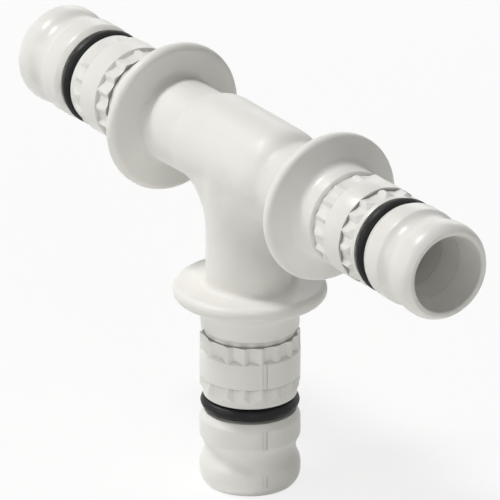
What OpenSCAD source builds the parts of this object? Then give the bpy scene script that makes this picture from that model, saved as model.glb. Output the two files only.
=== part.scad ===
// Press tee for multilayer pipe: an equal tee with three toothed inserts, each with a rubber ring.
// The run lies along X, the branch points down and the tee stands on the face of the branch insert.
// Each insert is drawn once, along its own Z from the tee centre, and is then turned into place.

/* [Body] */
// Radius of the straight middle of the run, which lies level with the necks along its underside
body_r = 7.1; // [6.8:0.05:8]
// Half length of that straight middle
body_half = 7.1; // [5:0.1:8]
// Radius of the necks
neck_r = 6.5; // [6.2:0.05:7]
// Centreline radius of the bends from the run down into the branch
bend_r = 10.9; // [10:0.1:14]
// Length of each straight neck, from the bend to the flange
neck_l = 8.2; // [5:0.1:14]

/* [Waterway] */
// Radius of the waterway
bore_r = 4.6; // [4:0.05:4.8]
// Radius of the waterway at the end of its first taper
mid_taper_r = 5.05; // [4.9:0.05:5.3]
// Radius of the waterway just inside the mouth
mouth_r = 5.8; // [5.4:0.05:6]
// Rounding of the mouth edge
mouth_round = 0.4; // [0.2:0.05:0.6]
// Length of the slow taper, next to the straight bore
slow_taper_l = 3.9; // [2:0.1:6]
// Length of the quick taper, next to the mouth
quick_taper_l = 4.3; // [3:0.1:5]

/* [Flange] */
// Radius of each flange
flange_r = 11.3; // [10:0.1:13]
// Thickness of each flange, from its flat face to the foot of its cone
flange_t = 3.1; // [2.8:0.1:4.5]
// Rounding between the flange and the neck
neck_fillet = 1.1; // [0.4:0.1:1.6]
// Rounding of the flange edge on the neck side
front_round = 1.1; // [0.5:0.1:1.1]
// Rounding of the flange edge on the insert side
back_round = 0.9; // [0.4:0.1:0.9]
// Slope of the cone on the insert side of the flange
cone_slope = 21.5; // [10:0.5:24]
// Radius at the foot of that cone
cone_foot_r = 8.2; // [7.8:0.1:9]

/* [Insert] */
// Radius of the insert over its bands, a sliding fit in the pipe
land_r = 7.4; // [7.2:0.05:7.6]
// Radius of the collar beside the flange
collar_r = 7.25; // [7:0.05:7.6]
// Length of the hollow curve from the cone down to the collar
collar_fillet_l = 1.75; // [1:0.05:2.5]
// Length of the straight collar
collar_l = 1.75; // [1:0.05:3]
// Radius of the undercut between the collar and the teeth
undercut_r = 6.7; // [6.4:0.05:6.8]
// Length of the undercut
undercut_l = 1.2; // [0.8:0.1:2]
// Length of the ring of teeth beside the undercut
inner_teeth_l = 2.6; // [2:0.1:4]
// Length of the wide band between the two rings of teeth
wide_band_l = 3.9; // [2:0.1:6]
// Length of the ring of teeth beside the groove
outer_teeth_l = 2.4; // [1.8:0.1:4]
// Plain length between the outer teeth and the groove
groove_lip_l = 0.8; // [0.4:0.1:1.5]
// Length of the lead from the groove up to the narrow band
lead_l = 1.4; // [1:0.1:2]
// Length of the rounded end of that lead
lead_round_l = 0.55; // [0.3:0.05:0.8]
// Height that the rounded end takes
lead_round_h = 0.12; // [0.05:0.01:0.2]
// Length of the narrow band
narrow_band_l = 2.35; // [1.5:0.05:4]
// Depth of the waist
waist_depth = 0.68; // [0.3:0.02:0.9]
// Length of the waist from the narrow band to its deepest place
waist_in_l = 2.2; // [2.1:0.1:2.6]
// Length of the waist from its deepest place to the end bulge
waist_out_l = 2.8; // [2.4:0.1:4]
// Radius of the hollow of the waist
waist_hollow_r = 3; // [1.5:0.1:3.2]
// Length of the straight part of the end bulge
bulge_l = 0.75; // [0.5:0.05:1.5]
// Length of the rounded nose
nose_l = 2.05; // [1.5:0.05:2.5]
// Radius of the flat end face
face_r = 6.55; // [6.5:0.05:6.7]
// Width of the shallow channel that the mould leaves along the lands
channel_w = 0.7; // [0.3:0.1:1]
// Depth of that channel below the lands
channel_deep = 0.1; // [0.03:0.01:0.15]
// Turn of that channel round the insert
channel_turn = 107.2; // [95:0.1:130]

/* [Teeth] */
// Radius of the floor between the teeth
floor_r = 6.9; // [6.85:0.05:7]
// Turn from the insert's side to its first ridge
first_ridge = 29; // [28:0.5:31]
// Turn from one ridge to the next
ridge_pitch = 20; // [19:0.5:21]
// Ridges in each quarter of the ring
ridges = 3; // [1:1:3]
// Turn that the long flank of a tooth takes
long_flank = 9.4; // [7:0.1:10]
// Turn that the short flank of a tooth takes
short_flank = 5.9; // [4:0.1:6.5]
// Turn from the crest of a side tooth to its foot
side_flank = 7.4; // [6:0.1:9]
// Width of the narrow land on each ridge
ridge_land = 0.12; // [0.05:0.01:0.3]
// Height by which the crest of a side tooth falls from its middle to its ends
crown = 0.18; // [0.05:0.01:0.3]
// Length of the sloped end of the outer teeth
teeth_chamfer = 0.9; // [0.4:0.05:1.4]
// Length of the slope from the floor of the inner teeth up to the wide band
band_slope_l = 0.4; // [0.2:0.05:0.8]

/* [Seal] */
// Thickness of the rubber ring
ring_cord_d = 1.8; // [1.5:0.05:1.9]
// Height by which the ring stands above the radius of the lip
ring_stand = 0.35; // [0.2:0.05:0.5]
// Space left between the ring and the floor of its groove
ring_gap = 0.01; // [0.01:0.01:0.05]
// Width by which the groove is wider than the ring
groove_play = 0.65; // [0.3:0.05:1]

/* [Hidden] */
$fn = 96;
arc_step = 8;
top_clear = 0.02;
overlap = 0.3;

// Radii that follow from others
ridge_r = land_r - 0.02;
groove_r = floor_r + ring_stand - ring_cord_d - ring_gap;
ring_centre_r = groove_r + ring_gap + ring_cord_d / 2;

// Places along the insert, each measured from the tee centre
flange_z = bend_r + neck_l;
cone_foot_z = flange_z + flange_t;
collar_z = cone_foot_z + collar_fillet_l;
undercut_z = collar_z + collar_l;
inner_teeth_z = undercut_z + undercut_l;
wide_band_z = inner_teeth_z + inner_teeth_l;
outer_teeth_z = wide_band_z + wide_band_l;
lip_z = outer_teeth_z + outer_teeth_l;
groove_z = lip_z + groove_lip_l;
groove_w = ring_cord_d + groove_play;
lead_z = groove_z + groove_w;
narrow_band_z = lead_z + lead_l;
waist_z = narrow_band_z + narrow_band_l;
waist_low_z = waist_z + waist_in_l;
bulge_z = waist_low_z + waist_out_l;
nose_z = bulge_z + bulge_l;
face_z = nose_z + nose_l;

// Points on an arc about c, from turn a to turn b
function arc(c, r, a, b) =
    let (steps = ceil(abs(b - a) / arc_step))
    [for (i = [0:steps]) let (t = a + (b - a) * i / steps) [c[0] + r * cos(t), c[1] + r * sin(t)]];

// The same points without those that fall on the one before
function without_repeats(points) =
    [for (i = [0:len(points) - 1]) if (i == 0 || norm(points[i] - points[i - 1]) > 0.001) points[i]];

// Radius of the arc that leaves a straight line along it and is off it by a height after a length
function sweep_r(length, height) = (length * length + height * height) / (2 * height);

// Outline of the back of the flange: a rounded edge, a cone and a hollow curve down to the collar
back_c_r = flange_r - back_round;
cone_top_r = back_c_r + back_round * sin(cone_slope);
cone_top_z = cone_foot_z - (cone_top_r - cone_foot_r) * tan(cone_slope);
back_c_z = cone_top_z - back_round * cos(cone_slope);
hollow_r = sweep_r(collar_fillet_l, cone_foot_r - collar_r);
hollow_turn = asin(collar_fillet_l / hollow_r);

// Outline of the lead, the waist and the nose; each half of the waist is an S of two arcs,
// whose radii add up to the radius of the one arc that would leave a straight line over that length
lead_round_r = sweep_r(lead_round_l, lead_round_h);
waist_in_r = sweep_r(waist_in_l, waist_depth);
waist_out_r = sweep_r(waist_out_l, waist_depth);
waist_in_turn = asin(waist_in_l / waist_in_r);
waist_out_turn = asin(waist_out_l / waist_out_r);
nose_r = sweep_r(nose_l, land_r - face_r);
nose_turn = asin(nose_l / nose_r);

// Outside of one insert with its neck and flange, without teeth
arm_outline = concat(
    [[0, bend_r], [neck_r, bend_r]],
    arc([neck_r + neck_fillet, flange_z - neck_fillet], neck_fillet, 180, 90),
    arc([flange_r - front_round, flange_z + front_round], front_round, -90, 0),
    arc([back_c_r, back_c_z], back_round, 0, 90 - cone_slope),
    arc([collar_r + hollow_r, collar_z], hollow_r, 180 + hollow_turn, 180),
    [[collar_r, undercut_z], [undercut_r, undercut_z + collar_r - undercut_r],
     [undercut_r, inner_teeth_z], [floor_r, inner_teeth_z], [floor_r, wide_band_z - band_slope_l],
     [land_r, wide_band_z], [land_r, outer_teeth_z], [floor_r, outer_teeth_z],
     [floor_r, groove_z], [groove_r, groove_z], [groove_r, lead_z], [floor_r, lead_z]],
    arc([land_r - lead_round_r, narrow_band_z], lead_round_r, -asin(lead_round_l / lead_round_r), 0),
    arc([land_r - waist_in_r + waist_hollow_r, waist_z], waist_in_r - waist_hollow_r, 0, waist_in_turn),
    arc([land_r - waist_depth + waist_hollow_r, waist_low_z], waist_hollow_r,
        180 + waist_in_turn, 180 - waist_out_turn),
    arc([land_r - waist_out_r + waist_hollow_r, bulge_z], waist_out_r - waist_hollow_r, -waist_out_turn, 0),
    arc([land_r - nose_r, nose_z], nose_r, 0, nose_turn),
    [[0, face_z]]);

// A corner of the tooth outline, at a radius and a turn
function corner(r, turn) = [r * cos(turn), r * sin(turn)];

// The foot of a flank, carried on in a straight line until it is inside the solid
function root(foot, top) = foot + (foot - top) * 0.15;

// One tooth: foot, narrow land and foot, going round
function tooth(turn, before, after) =
    let (half = asin(ridge_land / 2 / ridge_r),
         top_a = corner(ridge_r, turn - half), top_b = corner(ridge_r, turn + half))
    [root(corner(floor_r, turn - before), top_a), top_a, top_b, root(corner(floor_r, turn + after), top_b)];

function backwards(list) = [for (i = [len(list) - 1:-1:0]) list[i]];

// A quarter of the ring, repeated in the mirror to close it
quarter_ring = [for (i = [0:ridges - 1]) each tooth(first_ridge + i * ridge_pitch, long_flank, short_flank)];
ridge_ring = concat(
    quarter_ring, backwards([for (p = quarter_ring) [-p[0], p[1]]]),
    [for (p = quarter_ring) [-p[0], -p[1]]], backwards([for (p = quarter_ring) [p[0], -p[1]]]));

// The four side teeth, one on each side of the insert
side_ring = [for (turn = [0:90:270]) each tooth(turn, side_flank, side_flank)];

// Space that the outer teeth may fill, which slopes off towards the groove
chamfer_per_mm = teeth_chamfer / (ridge_r - floor_r);
module outer_envelope() {
    rotate_extrude()
        polygon([[0, outer_teeth_z - overlap], [land_r + 1, outer_teeth_z - overlap],
                 [land_r + 1, lip_z - chamfer_per_mm * (land_r + 1 - floor_r)],
                 [undercut_r, lip_z + chamfer_per_mm * (floor_r - undercut_r)],
                 [0, lip_z + chamfer_per_mm * (floor_r - undercut_r)]]);
}

// Space that the side teeth may fill, highest halfway along the ring
module crowned_envelope(z, length) {
    rotate_extrude()
        polygon([[0, z - overlap], [ridge_r - crown, z - overlap], [ridge_r - crown, z],
                 [ridge_r, z + length / 2],
                 [ridge_r - crown, z + length], [ridge_r - crown, z + length + overlap],
                 [0, z + length + overlap]]);
}

module tooth_prism(outline, z, length) {
    translate([0, 0, z]) linear_extrude(length) polygon(outline);
}

// Ring of teeth beside the undercut, open on that side and closed by the wide band
module inner_teeth() {
    tooth_prism(ridge_ring, inner_teeth_z, inner_teeth_l + overlap);
    intersection() {
        tooth_prism(side_ring, inner_teeth_z, inner_teeth_l + overlap);
        crowned_envelope(inner_teeth_z, inner_teeth_l);
    }
}

// Ring of teeth beside the groove, with sloped ends
module outer_teeth() {
    intersection() {
        tooth_prism(ridge_ring, outer_teeth_z - overlap, outer_teeth_l + 2 * overlap);
        outer_envelope();
    }
    intersection() {
        tooth_prism(side_ring, outer_teeth_z - overlap, outer_teeth_l + 2 * overlap);
        crowned_envelope(outer_teeth_z, outer_teeth_l);
        outer_envelope();
    }
}

// Shallow channel with a flat floor along the wide band, and from the lead over the tip
module mould_channel() {
    rotate([0, 0, channel_turn])
        for (stretch = [[wide_band_z - band_slope_l / 2, outer_teeth_z], [lead_z, face_z]])
            translate([land_r - channel_deep, -channel_w / 2, stretch[0]])
            cube([1, channel_w, stretch[1] - stretch[0]]);
}

module arm() {
    difference() {
        union() {
            rotate_extrude() polygon(without_repeats(arm_outline));
            inner_teeth();
            outer_teeth();
        }
        mould_channel();
    }
}

// Widening of the waterway towards one mouth
module mouth_cut() {
    quick_z = face_z - mouth_round - quick_taper_l;
    rotate_extrude()
        polygon(concat(
            [[0, quick_z - slow_taper_l], [bore_r, quick_z - slow_taper_l], [mid_taper_r, quick_z]],
            arc([mouth_r + mouth_round, face_z - mouth_round], mouth_round, 180, 90),
            [[mouth_r + mouth_round, face_z + overlap], [0, face_z + overlap]]));
}

// Children turned from the insert's own frame onto each side of the tee
module to_right() { translate([0, 0, face_z]) rotate([0, 90, 0]) children(); }
module to_left() { translate([0, 0, face_z]) rotate([0, -90, 0]) children(); }
module to_branch() { translate([0, 0, face_z]) rotate([0, 0, 90]) rotate([180, 0, 0]) children(); }

// Barrel about the run's axis, with shoulders that fall by a height to the start of the bends
module barrel(r, fall) {
    shoulder_l = bend_r - body_half;
    shoulder_r = sweep_r(shoulder_l, fall);
    shoulder = arc([r - shoulder_r, body_half], shoulder_r, 0, asin(shoulder_l / shoulder_r));
    to_right() rotate_extrude()
        polygon(concat([[0, -bend_r]], backwards([for (p = shoulder) [p[0], -p[1]]]), shoulder, [[0, bend_r]]));
}

// Middle of the run: level with the necks below and higher above, so its top falls further than its sides
module run_barrel() {
    rise = body_r - neck_r;
    intersection() {
        translate([0, 0, rise]) barrel(body_r, rise);
        barrel(body_r + rise + top_clear, 2 * rise + top_clear);
    }
}

// Bend from one side of the run down into the branch
module crotch_bend() {
    translate([bend_r, 0, face_z - bend_r]) rotate([90, 0, 0])
        rotate_extrude(angle = 90, start = 90) translate([bend_r, 0]) circle(neck_r);
}

module waterway() {
    to_right() translate([0, 0, -face_z + 1]) cylinder(h = 2 * face_z - 2, r = bore_r);
    to_branch() cylinder(h = face_z - 1, r = bore_r);
    to_right() mouth_cut();
    to_left() mouth_cut();
    to_branch() mouth_cut();
}

module tee_body() {
    color("white") difference() {
        union() {
            run_barrel();
            to_branch() cylinder(h = bend_r, r1 = body_r, r2 = neck_r);
            crotch_bend();
            mirror([1, 0, 0]) crotch_bend();
            to_right() arm();
            to_left() arm();
            to_branch() arm();
        }
        waterway();
    }
}

// Rubber ring, lying in the middle of its groove
module o_ring() {
    color([0.09, 0.09, 0.09])
        translate([0, 0, groove_z + groove_w / 2])
        rotate_extrude() translate([ring_centre_r, 0]) circle(ring_cord_d / 2);
}

module o_ring_left() { to_left() o_ring(); }
module o_ring_right() { to_right() o_ring(); }
module o_ring_branch() { to_branch() o_ring(); }

tee_body();
o_ring_left();
o_ring_right();
o_ring_branch();
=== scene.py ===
# %% [markdown]
# # A press tee for multilayer pipe
# The real fitting is one white injection moulding with a black rubber ring near the tip of each insert.
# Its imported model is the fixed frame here. This notebook models the same moulding again with finer
# surfaces: toothed rings with true flanks, soft edges, and a middle that flows together without a crease.

# %% The frame and the sizes that it gives
import math

import bpy
from mathutils import Matrix, Vector


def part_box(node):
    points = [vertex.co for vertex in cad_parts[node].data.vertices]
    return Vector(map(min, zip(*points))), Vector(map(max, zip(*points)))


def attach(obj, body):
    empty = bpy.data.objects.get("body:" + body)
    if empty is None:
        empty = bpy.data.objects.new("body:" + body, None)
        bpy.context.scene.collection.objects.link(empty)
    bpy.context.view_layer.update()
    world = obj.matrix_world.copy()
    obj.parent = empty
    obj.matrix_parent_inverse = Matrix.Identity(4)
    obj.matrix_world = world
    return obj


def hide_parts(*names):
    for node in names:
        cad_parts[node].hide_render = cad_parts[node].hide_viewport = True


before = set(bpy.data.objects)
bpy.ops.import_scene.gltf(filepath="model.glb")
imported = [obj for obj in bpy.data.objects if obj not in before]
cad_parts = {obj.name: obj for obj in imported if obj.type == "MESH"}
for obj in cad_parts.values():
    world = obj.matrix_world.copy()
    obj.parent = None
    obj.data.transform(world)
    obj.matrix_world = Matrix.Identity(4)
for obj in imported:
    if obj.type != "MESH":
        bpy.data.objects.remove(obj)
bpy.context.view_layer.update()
bpy.ops.object.select_all(action="DESELECT")

MM = 0.001
body_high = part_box("tee_body")[1]
FACE_Z = body_high[0] / MM
FLANGE_R = body_high[1] / MM
AXIS_HEIGHT = body_high[2] - body_high[1]
print("half run", round(FACE_Z, 2), "mm, flange radius", round(FLANGE_R, 2), "mm")

# %% [markdown]
# ## The camera
# The drawing is a parallel projection. A very long lens far away gives almost the same picture
# and still works for the other views.

# %% Camera
VIEW_TURN = math.radians(55.6)
VIEW_RISE = math.radians(23.4)
LENS = 1600
SENSOR = 36
FARTHEST = 20
PICTURE_W = 72.8 * MM
TARGET = Vector((4.26 * MM, -2.92 * MM, AXIS_HEIGHT - 11.95 * MM))

towards_camera = Vector((math.sin(VIEW_TURN) * math.cos(VIEW_RISE),
                         -math.cos(VIEW_TURN) * math.cos(VIEW_RISE),
                         math.sin(VIEW_RISE)))
bpy.ops.object.camera_add(location=TARGET + towards_camera * PICTURE_W * LENS / SENSOR)
camera = bpy.context.object
camera.rotation_euler = towards_camera.to_track_quat("Z", "Y").to_euler()
camera.data.lens = LENS
camera.data.sensor_width = SENSOR
camera.data.clip_end = FARTHEST
bpy.context.scene.camera = camera
print("camera stands", round(camera.location.length, 2), "m away")

# %% [markdown]
# ## Modelling helpers
# Every piece is drawn in millimetres along the axis of one insert, and helpers turn that into metres.
# An outline is a chain of points (radius, height): it starts as one vertex, which is extruded
# from point to point. A spin then turns the chain into a solid of revolution. CLOSE is the distance,
# in metres, at which vertices count as one, and NEAR, in millimetres, tells places on a piece apart.


# %% Helpers
CLOSE = 0.002 * MM
NEAR = 0.01
ARC_STEP, WIDE_ARC_STEP = 8, 12


def edit(select="VERT"):
    """Goes into edit mode, with the chosen select mode and nothing selected."""
    bpy.ops.object.mode_set(mode="EDIT")
    bpy.ops.mesh.select_mode(type=select)
    bpy.ops.mesh.select_all(action="DESELECT")


def pick(obj, kind, wanted):
    """Selects the vertices, edges or faces for which wanted(element) holds, and goes back to edit mode."""
    bpy.ops.object.mode_set(mode="OBJECT")
    for element in getattr(obj.data, kind):
        element.select = bool(wanted(element))
    bpy.ops.object.mode_set(mode="EDIT")


def only(*objects):
    """Makes these the only selected objects, the first of them active."""
    bpy.ops.object.select_all(action="DESELECT")
    for obj in objects:
        obj.select_set(True)
    bpy.context.view_layer.objects.active = objects[0]


def apply_modifier(obj, kind, **settings):
    """Adds a modifier with its settings and applies it."""
    only(obj)
    modifier = obj.modifiers.new(kind.title(), kind)
    for name, value in settings.items():
        setattr(modifier, name, value)
    bpy.ops.object.modifier_apply(modifier=modifier.name)


def outward(obj):
    """Merges doubles, removes slivers and points every face outwards."""
    only(obj)
    edit()
    bpy.ops.mesh.select_all(action="SELECT")
    bpy.ops.mesh.remove_doubles(threshold=CLOSE)
    bpy.ops.mesh.dissolve_degenerate(threshold=CLOSE)
    bpy.ops.mesh.normals_make_consistent(inside=False)
    bpy.ops.object.mode_set(mode="OBJECT")


def arc(centre, radius, start, end, step=ARC_STEP):
    """Points on an arc in the outline's plane, from one turn to another, in degrees."""
    steps = max(1, math.ceil(abs(end - start) / step))
    turns = [math.radians(start + (end - start) * i / steps) for i in range(steps + 1)]
    return [(centre[0] + radius * math.cos(t), centre[1] + radius * math.sin(t)) for t in turns]


def sweep_radius(length, height):
    """Radius of the arc that leaves a straight line along it and is off it by a height after a length."""
    return (length * length + height * height) / (2 * height)


def chain(name, points):
    """Draws an outline: one vertex, extruded from each point (radius, height) to the next."""
    bpy.ops.mesh.primitive_plane_add(size=MM, location=(0, 0, 0))
    obj = bpy.context.object
    obj.name = name
    edit()
    bpy.ops.mesh.select_all(action="SELECT")
    bpy.ops.mesh.merge(type="CENTER")
    here = (0.0, 0.0)
    for i, there in enumerate(points):
        move = ((there[0] - here[0]) * MM, 0, (there[1] - here[1]) * MM)
        if i == 0:
            bpy.ops.transform.translate(value=move)
        else:
            bpy.ops.mesh.extrude_region_move(TRANSFORM_OT_translate={"value": move})
        here = there
    bpy.ops.object.mode_set(mode="OBJECT")
    return obj


def revolve(obj, columns):
    """Spins an outline once round the vertical axis."""
    only(obj)
    edit()
    bpy.ops.mesh.select_all(action="SELECT")
    bpy.ops.mesh.spin(steps=columns, angle=2 * math.pi, center=(0, 0, 0), axis=(0, 0, 1), use_auto_merge=True)
    bpy.ops.object.mode_set(mode="OBJECT")
    outward(obj)


# %% [markdown]
# ## The insert: its outline
# On the real tee each insert is turned in the mould's steel: a flange with a sloped back, a collar, an
# undercut, two rings of teeth with a smooth band between them, the groove for the rubber ring, a lead,
# a second band, a waist and a rounded nose. All of it but the teeth is one outline.

# %% Outline of the insert
SOFT = 0.1
NECK_R = 6.5
NECK_START = 12.6
NECK_FILLET = 1.1
FLANGE_Z = 19.1
FLANGE_T = 3.1
FRONT_ROUND = 1.1
BACK_ROUND = 0.9
CONE_SLOPE = 21.5
CONE_FOOT_R = 8.2
LAND_R = 7.4
COLLAR_R = 7.25
COLLAR_Z = 23.95
UNDERCUT_R = 6.7
UNDERCUT_Z = 25.7
FLOOR_R = 6.9
INNER_TEETH_Z = 26.9
WIDE_BAND_Z = 29.5
OUTER_TEETH_Z = 33.4
LIP_Z = 35.8
GROOVE_Z = 36.6
GROOVE_R = 5.44
LEAD_Z = 39.05
LEAD_ROUND_L, LEAD_ROUND_H = 0.55, 0.12
NARROW_BAND_Z = 40.45
WAIST_Z = 42.8
WAIST_LOW_Z = 45.0
WAIST_DEPTH = 0.68
WAIST_HOLLOW_R = 3.0
BULGE_Z = 47.8
NOSE_Z = 48.55
FACE_R = 6.55
BAND_SLOPE_L = 0.4
TEETH_CHAMFER = 0.9
FLANK_STEPS = 3


def flange_outline():
    """From the neck, round the flange and down its cone to the collar."""
    back_r = FLANGE_R - BACK_ROUND
    cone_slope = math.radians(CONE_SLOPE)
    cone_top_r = back_r + BACK_ROUND * math.sin(cone_slope)
    cone_top_z = FLANGE_Z + FLANGE_T - (cone_top_r - CONE_FOOT_R) * math.tan(cone_slope)
    back_z = cone_top_z - BACK_ROUND * math.cos(cone_slope)
    hollow_l = COLLAR_Z - FLANGE_Z - FLANGE_T
    hollow_r = sweep_radius(hollow_l, CONE_FOOT_R - COLLAR_R)
    hollow_turn = math.degrees(math.asin(hollow_l / hollow_r))
    return [(NECK_R, NECK_START),
            *arc((NECK_R + NECK_FILLET, FLANGE_Z - NECK_FILLET), NECK_FILLET, 180, 90, WIDE_ARC_STEP),
            *arc((FLANGE_R - FRONT_ROUND, FLANGE_Z + FRONT_ROUND), FRONT_ROUND, -90, 0, WIDE_ARC_STEP),
            *arc((back_r, back_z), BACK_ROUND, 0, 90 - CONE_SLOPE, WIDE_ARC_STEP),
            *arc((COLLAR_R + hollow_r, COLLAR_Z), hollow_r, 180 + hollow_turn, 180, WIDE_ARC_STEP)]


def soft(before, edge, after):
    """Three points that round an edge off, as a milled mould does."""
    ends = [Vector(edge) + (Vector(side) - Vector(edge)).normalized() * SOFT for side in (before, after)]
    return [tuple(ends[0]), tuple((ends[0] + ends[1] + 2 * Vector(edge)) / 4), tuple(ends[1])]


def toothed_outline():
    """The collar's end, the undercut and the stretch that carries the teeth."""
    middle_of_inner = (INNER_TEETH_Z + WIDE_BAND_Z) / 2
    middle_of_outer = (OUTER_TEETH_Z + LIP_Z) / 2
    slope = [i / FLANK_STEPS for i in range(FLANK_STEPS)]
    undercut = (UNDERCUT_R, UNDERCUT_Z + COLLAR_R - UNDERCUT_R)
    groove_top, groove_foot = (GROOVE_R, GROOVE_Z), (GROOVE_R, LEAD_Z)
    return [*soft((COLLAR_R, COLLAR_Z), (COLLAR_R, UNDERCUT_Z), undercut), undercut,
            (UNDERCUT_R, INNER_TEETH_Z), (FLOOR_R, INNER_TEETH_Z), (FLOOR_R, middle_of_inner),
            *[(FLOOR_R + (LAND_R - FLOOR_R) * f, WIDE_BAND_Z + BAND_SLOPE_L * (f - 1)) for f in slope],
            (LAND_R, WIDE_BAND_Z),
            *soft((LAND_R, WIDE_BAND_Z), (LAND_R, OUTER_TEETH_Z), (FLOOR_R, OUTER_TEETH_Z)),
            (FLOOR_R, OUTER_TEETH_Z), (FLOOR_R, middle_of_outer),
            *[(FLOOR_R, LIP_Z + TEETH_CHAMFER * (f - 1)) for f in slope], (FLOOR_R, LIP_Z),
            *soft((FLOOR_R, LIP_Z), (FLOOR_R, GROOVE_Z), groove_top), groove_top, groove_foot,
            *soft(groove_foot, (FLOOR_R, LEAD_Z), (LAND_R, NARROW_BAND_Z))]


def tip_outline():
    """The lead's rounded end, the narrow band, the waist, the bulge and the nose, to the axis."""
    lead_r = sweep_radius(LEAD_ROUND_L, LEAD_ROUND_H)
    lead_turn = math.degrees(math.asin(LEAD_ROUND_L / lead_r))
    in_l, out_l = WAIST_LOW_Z - WAIST_Z, BULGE_Z - WAIST_LOW_Z
    in_r, out_r = sweep_radius(in_l, WAIST_DEPTH), sweep_radius(out_l, WAIST_DEPTH)
    in_turn, out_turn = math.degrees(math.asin(in_l / in_r)), math.degrees(math.asin(out_l / out_r))
    nose_r = sweep_radius(FACE_Z - NOSE_Z, LAND_R - FACE_R)
    nose_turn = math.degrees(math.asin((FACE_Z - NOSE_Z) / nose_r))
    return [*arc((LAND_R - lead_r, NARROW_BAND_Z), lead_r, -lead_turn, 0),
            *arc((LAND_R - in_r + WAIST_HOLLOW_R, WAIST_Z), in_r - WAIST_HOLLOW_R, 0, in_turn)[:-1],
            *arc((LAND_R - WAIST_DEPTH + WAIST_HOLLOW_R, WAIST_LOW_Z), WAIST_HOLLOW_R,
                 180 + in_turn, 180 - out_turn),
            *arc((LAND_R - out_r + WAIST_HOLLOW_R, BULGE_Z), out_r - WAIST_HOLLOW_R, -out_turn, 0)[1:],
            *arc((LAND_R - nose_r, NOSE_Z), nose_r, 0, nose_turn),
            (0, FACE_Z)]


insert_outline = flange_outline() + toothed_outline() + tip_outline()
print("the insert's outline has", len(insert_outline), "points")

# %% [markdown]
# ## The insert: where its teeth stand
# Each quarter of a ring has three sharp ridges with one long and one short flank, and a blunter tooth
# lies on each side of the insert. A spin spreads its columns evenly, so they are slid along to the
# corners of the teeth. All rows share the columns, which keeps the mesh in clean rings.

# %% Columns of the insert
RIDGE_R = 7.38
RIDGE_LAND = 0.12
FIRST_RIDGE, RIDGE_PITCH, RIDGES = 29, 20, 3
LONG_FLANK, SHORT_FLANK, SIDE_FLANK = 9.4, 5.9, 7.4
CROWN = 0.18
SIDE_MIDDLE = 0.32
WIDE_GAP_POINTS, NARROW_GAP_POINTS = 2, 1
HALF_LAND = math.degrees(math.asin(RIDGE_LAND / 2 / RIDGE_R))
RIDGE_LEVELS = [i / FLANK_STEPS for i in range(FLANK_STEPS + 1)]
SIDE_LEVELS = [0, SIDE_MIDDLE, 1 - CROWN / (RIDGE_R - FLOOR_R), 1]


def corner(radius, turn):
    """A point at a radius and a turn in degrees, seen along the insert."""
    return Vector((radius * math.cos(math.radians(turn)), radius * math.sin(math.radians(turn))))


def flank(foot_turn, top_turn, levels):
    """Points up one straight flank, from its foot to the edge of the crest."""
    foot, top = corner(FLOOR_R, foot_turn), corner(RIDGE_R, top_turn)
    return [foot.lerp(top, level) for level in levels]


def floor_points(start, end, count):
    """Points between two feet, ends left out."""
    return [corner(FLOOR_R, start + (end - start) * (i + 1) / (count + 1)) for i in range(count)]


def quarter():
    """One quarter of the tooth outline, as (point, whether it belongs to a side tooth)."""
    first_foot = FIRST_RIDGE - LONG_FLANK
    last_foot = FIRST_RIDGE + RIDGE_PITCH * (RIDGES - 1) + SHORT_FLANK
    points = [(p, True) for p in reversed(flank(SIDE_FLANK, HALF_LAND, SIDE_LEVELS))]
    points += [(p, False) for p in floor_points(SIDE_FLANK, first_foot, WIDE_GAP_POINTS)]
    for i in range(RIDGES):
        turn = FIRST_RIDGE + RIDGE_PITCH * i
        points += [(p, False) for p in flank(turn - LONG_FLANK, turn - HALF_LAND, RIDGE_LEVELS)]
        short_side = flank(turn + SHORT_FLANK, turn + HALF_LAND, RIDGE_LEVELS)
        points += [(p, False) for p in reversed(short_side)]
    points += [(p, False) for p in floor_points(last_foot, 90 - SIDE_FLANK, NARROW_GAP_POINTS)]
    points += [(p, True) for p in flank(90 - SIDE_FLANK, 90 - HALF_LAND, SIDE_LEVELS)]
    return points


def whole_ring():
    """All four quarters, each the mirror of the one before."""
    first = quarter()
    points = []
    for sx, sy, step in ((1, 1, 1), (-1, 1, -1), (-1, -1, 1), (1, -1, -1)):
        points += [(Vector((p.x * sx, p.y * sy)), side) for p, side in first[::step]]
    return points


ring = whole_ring()
print("columns:", len(ring))

# %% [markdown]
# ## The insert: from outline to toothed solid
# In the teeth's rows each vertex stands at the tooth outline, cut down by the slope that ends the
# outer teeth or by the crown of a side tooth. Where two such slopes meet inside a cell, the cell is
# split along its longer diagonal, which is where the real edge runs.

# %% The insert
def limit(z, side):
    """Greatest radius that a tooth may have at a height."""
    top = RIDGE_R
    if z > OUTER_TEETH_Z - NEAR:
        top -= max(0, (z - LIP_Z + TEETH_CHAMFER) / TEETH_CHAMFER) * (RIDGE_R - FLOOR_R)
        start, end = OUTER_TEETH_Z, LIP_Z
    else:
        start, end = INNER_TEETH_Z, WIDE_BAND_Z
    if side:
        middle = (start + end) / 2
        top = min(top, RIDGE_R - CROWN * abs(z - middle) / (middle - start))
    return top


def in_teeth(r, z):
    """Whether a place on the outline carries teeth."""
    inner = INNER_TEETH_Z - NEAR < z < WIDE_BAND_Z - NEAR
    outer = OUTER_TEETH_Z - NEAR < z < LIP_Z - NEAR
    return FLOOR_R - NEAR < r < LAND_R - NEAR and (inner or outer)


def shape_teeth(obj):
    """Slides the columns to the teeth's corners and raises the teeth."""
    for vertex in obj.data.vertices:
        x, y, z = vertex.co / MM
        r = math.hypot(x, y)
        if r < NEAR:
            continue
        column = round(math.atan2(y, x) / (2 * math.pi) * len(ring) - 0.5) % len(ring)
        point, side = ring[column]
        if in_teeth(r, z):
            r = max(r, min(point.length, limit(z, side)))
        vertex.co = Vector((*(point.normalized() * r), z)) * MM


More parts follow.
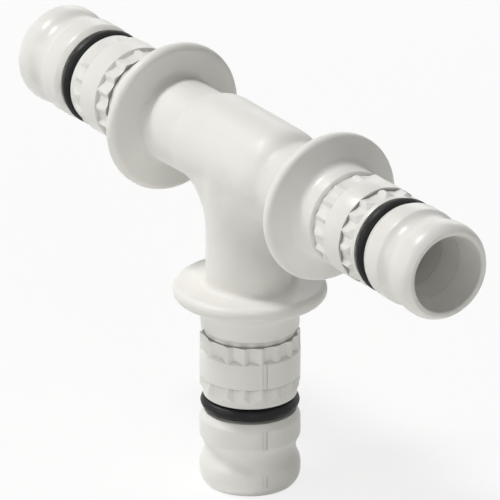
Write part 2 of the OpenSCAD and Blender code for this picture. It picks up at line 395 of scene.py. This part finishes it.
insert = chain("insert", insert_outline)
revolve(insert, len(ring))
half_column = math.pi / len(ring)
insert.data.transform(Matrix.Rotation(half_column, 4, "Z"))
shape_teeth(insert)
edit("FACE")
pick(insert, "polygons",
     lambda face: in_teeth(FLOOR_R, face.center.z / MM) and len(face.vertices) == 4)
bpy.ops.mesh.quads_convert_to_tris(quad_method="LONGEST_DIAGONAL")
bpy.ops.object.mode_set(mode="OBJECT")
print("the insert has", len(insert.data.polygons), "faces")

# %% [markdown]
# ## The middle: four tubes that flow together
# The run's middle is a little fatter than the necks and level with them below. Two bends lead from it
# down into the branch. The real part shows no crease where they meet, because the mould was milled
# with a round cutter. So the tubes are modelled one by one, joined by a voxel remesh and smoothed,
# and their ends are cut off flat where the inserts begin.

# %% The middle
BODY_R = 7.1
BODY_HALF = 7.1
BEND_R = 10.9
MIDDLE_END = 12.0
TUBE_END = 13.2
TUBE_COLUMNS = 96
SHOULDER_STEPS = 8
BEND_STEPS = 40
VOXEL = 0.22
SMOOTH_FACTOR, SMOOTH_ROUNDS = 0.5, 60


def disc(x):
    """A round face of the neck's size across the run at x, selected in edit mode."""
    bpy.ops.mesh.primitive_circle_add(vertices=TUBE_COLUMNS, radius=NECK_R * MM, fill_type="NGON",
                                      location=(x * MM, 0, 0), rotation=(0, math.pi / 2, 0))
    bpy.ops.object.transform_apply()
    edit("FACE")
    bpy.ops.mesh.select_all(action="SELECT")
    return bpy.context.object


def run_tube():
    """The run's middle with both necks, drawn as rings along X about the run's own axis."""
    rise = BODY_R - NECK_R
    shoulder_l = BEND_R - BODY_HALF
    shoulder_r = sweep_radius(shoulder_l, 2 * rise)
    rings = [(TUBE_END, 2 * rise)]
    for i in range(SHOULDER_STEPS, -1, -1):
        along = shoulder_l * i / SHOULDER_STEPS
        rings.append((BODY_HALF + along, shoulder_r - math.sqrt(shoulder_r ** 2 - along ** 2)))
    rings += [(-x, fall) for x, fall in reversed(rings)]
    tube = disc(TUBE_END)
    for (x0, fall0), (x1, fall1) in zip(rings, rings[1:]):
        r0, r1 = BODY_R - fall0 / 2, BODY_R - fall1 / 2
        centre = Vector((x1, 0, rise - fall1 / 2)) * MM
        bpy.ops.mesh.extrude_region_move(
            TRANSFORM_OT_translate={"value": ((x1 - x0) * MM, 0, (fall0 - fall1) / 2 * MM)})
        bpy.ops.transform.resize(value=(1, r1 / r0, r1 / r0), center_override=centre)
    bpy.ops.object.mode_set(mode="OBJECT")
    outward(tube)
    return tube


def bend_tube(side):
    """One bend, spun from the run down into the branch; side is -1 or 1."""
    tube = disc(side * BEND_R)
    bpy.ops.mesh.spin(steps=BEND_STEPS, angle=-side * math.pi / 2, axis=(0, -1, 0),
                      center=(side * BEND_R * MM, 0, -BEND_R * MM))
    bpy.ops.object.mode_set(mode="OBJECT")
    outward(tube)
    return tube


def branch_tube():
    """The branch, a slim cone with its neck below."""
    bpy.ops.mesh.primitive_cone_add(vertices=TUBE_COLUMNS, radius1=NECK_R * MM, radius2=BODY_R * MM,
                                    depth=BEND_R * MM, location=(0, 0, -BEND_R / 2 * MM))
    bpy.ops.object.transform_apply()
    tube = bpy.context.object
    edit("FACE")
    pick(tube, "polygons", lambda face: face.normal.z < -0.9)
    bpy.ops.mesh.extrude_region_move(
        TRANSFORM_OT_translate={"value": (0, 0, (BEND_R - TUBE_END) * MM)})
    bpy.ops.object.mode_set(mode="OBJECT")
    outward(tube)
    return tube


middle = run_tube()
only(middle, bend_tube(-1), bend_tube(1), branch_tube())
bpy.ops.object.join()
middle.name = "middle"
apply_modifier(middle, "REMESH", mode="VOXEL", voxel_size=VOXEL * MM, adaptivity=0)
apply_modifier(middle, "SMOOTH", factor=SMOOTH_FACTOR, iterations=SMOOTH_ROUNDS)
edit()
for normal in (Vector((1, 0, 0)), Vector((-1, 0, 0)), Vector((0, 0, -1))):
    bpy.ops.mesh.select_all(action="SELECT")
    bpy.ops.mesh.bisect(plane_co=normal * MIDDLE_END * MM, plane_no=normal, clear_outer=True,
                        threshold=1e-7)
bpy.ops.object.mode_set(mode="OBJECT")
print("the middle has", len(middle.data.polygons), "faces")

# %% [markdown]
# ## One moulding
# The insert is copied and turned to its three places, and the open ends are bridged to the middle.
# The waterway is one more solid of revolution for each direction, cut out of the whole at the end.
# The steel pins that form it are built up from sections, and a fine step shows where two of them meet.


# %% Joining the inserts to the middle
def copy_of(obj, turn):
    """A copy with its own mesh, turned about the tee's centre."""
    made = obj.copy()
    made.data = obj.data.copy()
    bpy.context.collection.objects.link(made)
    made.data.transform(turn)
    return made


TO_RIGHT = Matrix.Rotation(math.pi / 2, 4, "Y")
TO_LEFT = Matrix.Rotation(-math.pi / 2, 4, "Y")
TO_BRANCH = Matrix.Rotation(math.pi / 2, 4, "Z") @ Matrix.Rotation(math.pi, 4, "X")
TURNS = {"right": TO_RIGHT, "left": TO_LEFT, "branch": TO_BRANCH}
OPEN_END = MIDDLE_END - 0.1

moulding = middle
only(moulding, *[copy_of(insert, turn) for turn in TURNS.values()])
bpy.ops.object.join()
moulding.name = "tee_moulding"
bpy.data.objects.remove(insert)

for turn in TURNS.values():
    ahead = turn @ Vector((0, 0, 1))
    edit("EDGE")
    bpy.ops.mesh.select_non_manifold(extend=False, use_wire=False, use_multi_face=False,
                                     use_non_contiguous=False, use_verts=False)
    bpy.ops.object.mode_set(mode="OBJECT")
    for edge in moulding.data.edges:
        places = [moulding.data.vertices[v].co.dot(ahead) / MM for v in edge.vertices]
        edge.select = edge.select and min(places) > OPEN_END
    bpy.ops.object.mode_set(mode="EDIT")
    bpy.ops.mesh.bridge_edge_loops()
    bpy.ops.object.mode_set(mode="OBJECT")
outward(moulding)
print("the moulding has", len(moulding.data.polygons), "faces")

# %% The waterway
BORE_R = 4.6
MID_TAPER_R = 5.05
MOUTH_R = 5.8
MOUTH_ROUND = 0.4
PIN_STEP = 0.08
SLOW_TAPER_L = 3.9
QUICK_TAPER_L = 4.3
PAST_FACE = 1
PAST_AXIS = 0.3
WATER_COLUMNS = 128
quick_z = FACE_Z - MOUTH_ROUND - QUICK_TAPER_L
slow_z = quick_z - SLOW_TAPER_L
past_z = FACE_Z + PAST_FACE
mouth = [(BORE_R, slow_z), (BORE_R + PIN_STEP, slow_z),
         (MID_TAPER_R, quick_z), (MID_TAPER_R + PIN_STEP, quick_z),
         *arc((MOUTH_R + MOUTH_ROUND, FACE_Z - MOUTH_ROUND), MOUTH_ROUND, 180, 90, WIDE_ARC_STEP),
         (MOUTH_R + MOUTH_ROUND, past_z), (0, past_z)]


def cut_away(obj, cutter):
    """Cuts one solid out of another and removes the cutter."""
    apply_modifier(obj, "BOOLEAN", operation="DIFFERENCE", object=cutter, solver="EXACT")
    bpy.data.objects.remove(cutter)


for turn, start in ((TO_RIGHT, [(r, -z) for r, z in reversed(mouth)]),
                    (TO_BRANCH, [(0, -PAST_AXIS), (BORE_R, -PAST_AXIS)])):
    water = chain("waterway", start + mouth)
    revolve(water, WATER_COLUMNS)
    water.data.transform(turn)
    cut_away(moulding, water)
print("with its waterway it has", len(moulding.data.polygons), "faces")

# %% [markdown]
# Along each insert the parts of the mould leave one shallow channel with a flat floor. It crosses the
# wide band, and from the lead it runs over the tip, where only the narrow band and the bulge are high
# enough to show it. Two small boxes for each insert cut it.

# %% The mould's channels
CHANNEL_W = 0.7
CHANNEL_DEEP = 0.1
CHANNEL_TURN = 107
PAST_TEETH = 0.03
CUTTER_T = 1
STRETCHES = ((WIDE_BAND_Z - BAND_SLOPE_L / 2, OUTER_TEETH_Z + PAST_TEETH), (LEAD_Z + SOFT, FACE_Z))
channels = []
for turn in TURNS.values():
    for start, end in STRETCHES:
        centre = ((LAND_R - CHANNEL_DEEP + CUTTER_T / 2) * MM, 0, (start + end) / 2 * MM)
        bpy.ops.mesh.primitive_cube_add(size=MM, location=centre, scale=(CUTTER_T, CHANNEL_W, end - start))
        bpy.ops.object.transform_apply()
        channels.append(bpy.context.object)
        channels[-1].data.transform(turn @ Matrix.Rotation(math.radians(CHANNEL_TURN), 4, "Z"))
only(*channels)
bpy.ops.object.join()
cut_away(moulding, bpy.context.object)
outward(moulding)
print("with its channels it has", len(moulding.data.polygons), "faces")

# %% Smooth faces and real edges
# The taper meets the rounding of each mouth at so flat an angle that this edge is marked by hand.
SHARP_ANGLE = 24
only(moulding)
bpy.ops.object.shade_smooth_by_angle(angle=math.radians(SHARP_ANGLE))


def on_mouth_edge(edge):
    """Whether an edge lies on the ring where the taper meets the rounding of a mouth."""
    ends = [moulding.data.vertices[v].co / MM for v in edge.vertices]
    for turn in TURNS.values():
        ahead = turn @ Vector((0, 0, 1))
        if all(abs(end.dot(ahead) - FACE_Z + MOUTH_ROUND) < NEAR
               and abs((end - ahead * end.dot(ahead)).length - MOUTH_R) < 2 * NEAR for end in ends):
            return True
    return False


edit("EDGE")
pick(moulding, "edges", on_mouth_edge)
bpy.ops.mesh.mark_sharp()
bpy.ops.object.mode_set(mode="OBJECT")
moulding.data.transform(Matrix.Translation((0, 0, AXIS_HEIGHT)))
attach(moulding, "root")
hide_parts("tee_body")
print("edges marked sharp:", sum(edge.use_edge_sharp for edge in moulding.data.edges))

# %% [markdown]
# ## The rubber rings
# An O-ring is moulded in two halves, so a thin line of flash runs round it. Each ring lies loose in
# the middle of its groove.

# %% The rings
CORD_D = 1.8
RING_R = 6.35
RING_Z = (GROOVE_Z + LEAD_Z) / 2
FLASH = 0.03
RING_COLUMNS, CORD_COLUMNS = 144, 32
outer_r = RING_R + CORD_D / 2
flash_share = 1 + FLASH / outer_r
seals = []
for name, turn in TURNS.items():
    bpy.ops.mesh.primitive_torus_add(major_radius=RING_R * MM, minor_radius=CORD_D / 2 * MM,
                                     major_segments=RING_COLUMNS, minor_segments=CORD_COLUMNS,
                                     location=(0, 0, RING_Z * MM))
    bpy.ops.object.transform_apply()
    seal = bpy.context.object
    seal.name = "rubber_ring_" + name
    edit()
    pick(seal, "vertices", lambda vertex: vertex.co.xy.length > (outer_r - NEAR) * MM)
    bpy.ops.transform.resize(value=(flash_share, flash_share, 1), center_override=(0, 0, RING_Z * MM))
    bpy.ops.object.mode_set(mode="OBJECT")
    seals.append(seal)
    seal.data.transform(Matrix.Translation((0, 0, AXIS_HEIGHT)) @ turn)
    only(seal)
    bpy.ops.object.shade_smooth()
    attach(seal, "root")
    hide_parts("o_ring_" + name)
print("rings:", [seal.name for seal in seals])

# %% [markdown]
# ## Finishes
# The moulding is natural PVDF, a milky fluoropolymer that lets light a little way in. Its colour comes
# out of the resin, so it is almost even. The mould's steel was spark eroded round the body, which
# leaves a fine satin grain, and polished on the inserts, where the pipe has to slide and seal.

# %% Helpers for materials
def linear(code):
    """An sRGB hex colour as linear red, green, blue and full alpha."""
    parts = [int(code[i:i + 2], 16) / 255 for i in (1, 3, 5)]
    return (*[c / 12.92 if c <= 0.04045 else ((c + 0.055) / 1.055) ** 2.4 for c in parts], 1)


def new_material(name):
    """A material with its node tree and its shader."""
    made = bpy.data.materials.new(name)
    made.use_nodes = True
    return made, made.node_tree, made.node_tree.nodes["Principled BSDF"]


def add_node(tree, kind, settings, links=()):
    """Adds a node; settings are its attributes or inputs, links are (input, output of another node)."""
    made = tree.nodes.new("ShaderNode" + kind)
    for name, value in settings.items():
        if isinstance(name, str) and hasattr(made, name):
            setattr(made, name, value)
        else:
            made.inputs[name].default_value = value
    for name, output in links:
        tree.links.new(output, made.inputs[name])
    return made


def noise(tree, place, size, detail, roughness=0.5):
    """The value of a noise pattern whose grains are so many millimetres across."""
    made = add_node(tree, "TexNoise", {"Scale": 1 / (size * MM), "Detail": detail, "Roughness": roughness},
                    [("Vector", place)])
    return made.outputs["Fac"]


# %% [markdown]
# The sharp inner corners and hollows get painted shade: ambient occlusion finds them, and the colour is
# darkened there towards a grey-brown.

# %% The white moulding
# How far the painted shade in the corners reaches, and the occlusion values at which it is full and at which
# it is gone.
PAINTED_SHADE_REACH = 1.0
PAINTED_SHADE_FULL, PAINTED_SHADE_NONE = 0.35, 0.92
PVDF_IOR = 1.42
DEPTH_OF_LIGHT = 0.45


def moulded_pvdf(name, rough, grain_height, grain_size):
    """Natural PVDF with the surface that its part of the mould gave it, and painted shade in its inner
    corners.
    """
    made, tree, shader = new_material(name)
    place = add_node(tree, "TexCoord", {}).outputs["Object"]
    flow = noise(tree, place, size=11, detail=3)
    tone = add_node(tree, "Mix", {"data_type": "RGBA", 6: linear("#E3E1DA"), 7: linear("#ECEBE7")},
                    [(0, flow)])
    # Painted shade: where ambient occlusion finds a hollow, the colour is mixed towards the grey-brown
    # #77746B.
    hollow = add_node(tree, "AmbientOcclusion",
                      {"samples": 12, "only_local": True, "Distance": PAINTED_SHADE_REACH * MM})
    painted_shade = add_node(tree, "MapRange",
                    {"From Min": PAINTED_SHADE_FULL, "From Max": PAINTED_SHADE_NONE, "To Min": 1, "To Max": 0},
                    [("Value", hollow.outputs["AO"])])
    colour = add_node(tree, "Mix", {"data_type": "RGBA", 7: linear("#77746B")},
                      [(0, painted_shade.outputs["Result"]), (6, tone.outputs[2])])
    patches = noise(tree, place, size=2.4, detail=5, roughness=0.6)
    sheen = add_node(tree, "MapRange", {"From Min": 0.3, "From Max": 0.7, "To Min": rough - 0.05,
                                        "To Max": rough + 0.06}, [("Value", patches)])
    grain = noise(tree, place, grain_size, detail=2)
    bump = add_node(tree, "Bump", {"Strength": 1, "Distance": grain_height * MM}, [("Height", grain)])
    shader.inputs["IOR"].default_value = PVDF_IOR
    shader.inputs["Subsurface Weight"].default_value = 0.1
    shader.inputs["Subsurface Radius"].default_value = (1, 0.92, 0.8)
    shader.inputs["Subsurface Scale"].default_value = DEPTH_OF_LIGHT * MM
    tree.links.new(colour.outputs[2], shader.inputs["Base Color"])
    tree.links.new(sheen.outputs["Result"], shader.inputs["Roughness"])
    tree.links.new(bump.outputs["Normal"], shader.inputs["Normal"])
    return made


satin = moulded_pvdf("pvdf_spark_eroded", rough=0.44, grain_height=0.03, grain_size=0.3)
polished = moulded_pvdf("pvdf_polished", rough=0.33, grain_height=0.006, grain_size=0.6)
moulding.data.materials.clear()
moulding.data.materials.append(satin)
moulding.data.materials.append(polished)
only(moulding)
edit("FACE")
for turn in TURNS.values():
    ahead = turn @ Vector((0, 0, 1))
    past = (FLANGE_Z + FLANGE_T) * MM
    pick(moulding, "polygons",
         lambda face: (face.center - Vector((0, 0, AXIS_HEIGHT))).dot(ahead) > past)
    moulding.active_material_index = 1
    bpy.ops.object.material_slot_assign()
bpy.ops.object.mode_set(mode="OBJECT")
print("polished faces:", sum(face.material_index for face in moulding.data.polygons))

# %% [markdown]
# The rings are black EPDM, compression moulded and lightly greased. Carbon black makes the rubber
# nearly black, and the grease gives a soft gleam that breaks up in streaks.

# %% The black rubber
EPDM_IOR = 1.48
GLOSS_LEVEL = 0.25
RUBBER_GRAIN, RUBBER_GRAIN_DEEP = 0.25, 0.02
rubber, tree, shader = new_material("epdm_moulded_rubber")
place = add_node(tree, "TexCoord", {}).outputs["Object"]
tone = add_node(tree, "Mix", {"data_type": "RGBA", 6: linear("#0B0B0C"), 7: linear("#181819")},
                [(0, noise(tree, place, size=0.9, detail=6, roughness=0.65))])
gleam = add_node(tree, "MapRange", {"From Min": 0.35, "From Max": 0.65, "To Min": 0.34, "To Max": 0.56},
                 [("Value", noise(tree, place, size=1.6, detail=3))])
bump = add_node(tree, "Bump", {"Strength": 1, "Distance": RUBBER_GRAIN_DEEP * MM},
                [("Height", noise(tree, place, RUBBER_GRAIN, detail=2))])
shader.inputs["IOR"].default_value = EPDM_IOR
shader.inputs["Specular IOR Level"].default_value = GLOSS_LEVEL
tree.links.new(tone.outputs[2], shader.inputs["Base Color"])
tree.links.new(gleam.outputs["Result"], shader.inputs["Roughness"])
tree.links.new(bump.outputs["Normal"], shader.inputs["Normal"])
for seal in seals:
    seal.data.materials.clear()
    seal.data.materials.append(rubber)
print("materials:", sorted(material.name for material in (satin, polished, rubber)))

# %% [markdown]
# ## Floor and light
# The drawing has a white ground. A sheet of matt paper gives one: part of what the eye sees of it is
# plain white, and the rest is lit paper, which keeps the shadow. Away from the part the white takes
# over, so the sheet melts into the background. It lies a hair below the part, so the two never flicker.

# %% Floor
FLOOR_W = 8
FLOOR_WHITE = 0.8
FADE_START, FADE_END = 0.12, 0.45
FLOOR_GAP = 0.01


def background_ray(tree):
    """1 for a ray from the camera, also after a gloss or a clear piece has sent it on, otherwise 0."""
    path = add_node(tree, "LightPath", {})
    gloss = add_node(tree, "Math", {"operation": "MAXIMUM"},
                     [(0, path.outputs["Is Camera Ray"]), (1, path.outputs["Is Glossy Ray"])])
    clear = add_node(tree, "Math", {"operation": "MAXIMUM"},
                     [(0, gloss.outputs["Value"]), (1, path.outputs["Is Transmission Ray"])])
    return clear.outputs["Value"]


bpy.ops.mesh.primitive_plane_add(size=FLOOR_W, location=(0, 0, -FLOOR_GAP * MM))
floor = bpy.context.object
floor.name = "floor"
paper, tree, shader = new_material("matt_paper_floor")
place = add_node(tree, "TexCoord", {}).outputs["Object"]
tone = add_node(tree, "Mix", {"data_type": "RGBA", 6: linear("#F6F6F4"), 7: linear("#F9F9F8")},
                [(0, noise(tree, place, size=25, detail=4))])
tree.links.new(tone.outputs[2], shader.inputs["Base Color"])
shader.inputs["Roughness"].default_value = 0.95
white = add_node(tree, "Emission", {"Color": linear("#FFFFFF")})
away = add_node(tree, "VectorMath", {"operation": "LENGTH"}, [(0, place)])
share = add_node(tree, "MapRange", {"interpolation_type": "SMOOTHSTEP", "From Min": FADE_START,
                                    "From Max": FADE_END, "To Min": FLOOR_WHITE, "To Max": 1},
                 [("Value", away.outputs["Value"])])
seen = add_node(tree, "Math", {"operation": "MULTIPLY"},
                [(0, share.outputs["Result"]), (1, background_ray(tree))])
both = add_node(tree, "MixShader", {}, [(0, seen.outputs["Value"]), (1, shader.outputs["BSDF"]),
                                        (2, white.outputs["Emission"])])
tree.links.new(both.outputs["Shader"], tree.nodes["Material Output"].inputs["Surface"])
floor.data.materials.append(paper)
print("the floor is", floor.dimensions.x, "m wide")

# %% [markdown]
# A white part on a white ground reads by its shadows alone. The main lamp stands high on the left, so
# that its light rakes over the teeth, a softer one lights the branch from the front, and a weak one
# looks into the mouth. One more opens the shadows on the far side. The room's own light is low.

# %% Lamps and room
LAMP_DISTANCE = 2


def lamp(name, towards, size, level):
    """A square soft lamp; level is the part of full white that it adds to a matt white face."""
    direction = Vector(towards).normalized()
    bpy.ops.object.light_add(type="AREA", location=TARGET + direction * LAMP_DISTANCE)
    made = bpy.context.object
    made.name = name
    made.rotation_euler = direction.to_track_quat("Z", "Y").to_euler()
    made.data.size = size
    made.data.energy = level * (math.pi * LAMP_DISTANCE) ** 2


lamp("key", (-0.5, -0.35, 1.0), size=0.4, level=0.66)
lamp("front", (-0.25, -1.0, 0.35), size=0.8, level=0.2)
lamp("mouth", (1.0, -0.25, 0.35), size=0.6, level=0.14)
lamp("back", (-0.75, 0.75, 0.35), size=0.8, level=0.09)
ROOM_LEVEL = 0.15
world = bpy.data.worlds.new("studio")
bpy.context.scene.world = world
world.use_nodes = True
background = world.node_tree.nodes["Background"]
background.inputs["Color"].default_value = linear("#FFFFFF")
seen = add_node(world.node_tree, "MapRange", {"To Min": ROOM_LEVEL, "To Max": 1},
                [("Value", background_ray(world.node_tree))])
world.node_tree.links.new(seen.outputs["Result"], background.inputs["Strength"])
bpy.context.scene.view_settings.view_transform = "Standard"

# %% Nothing left selected
bpy.ops.object.select_all(action="DESELECT")
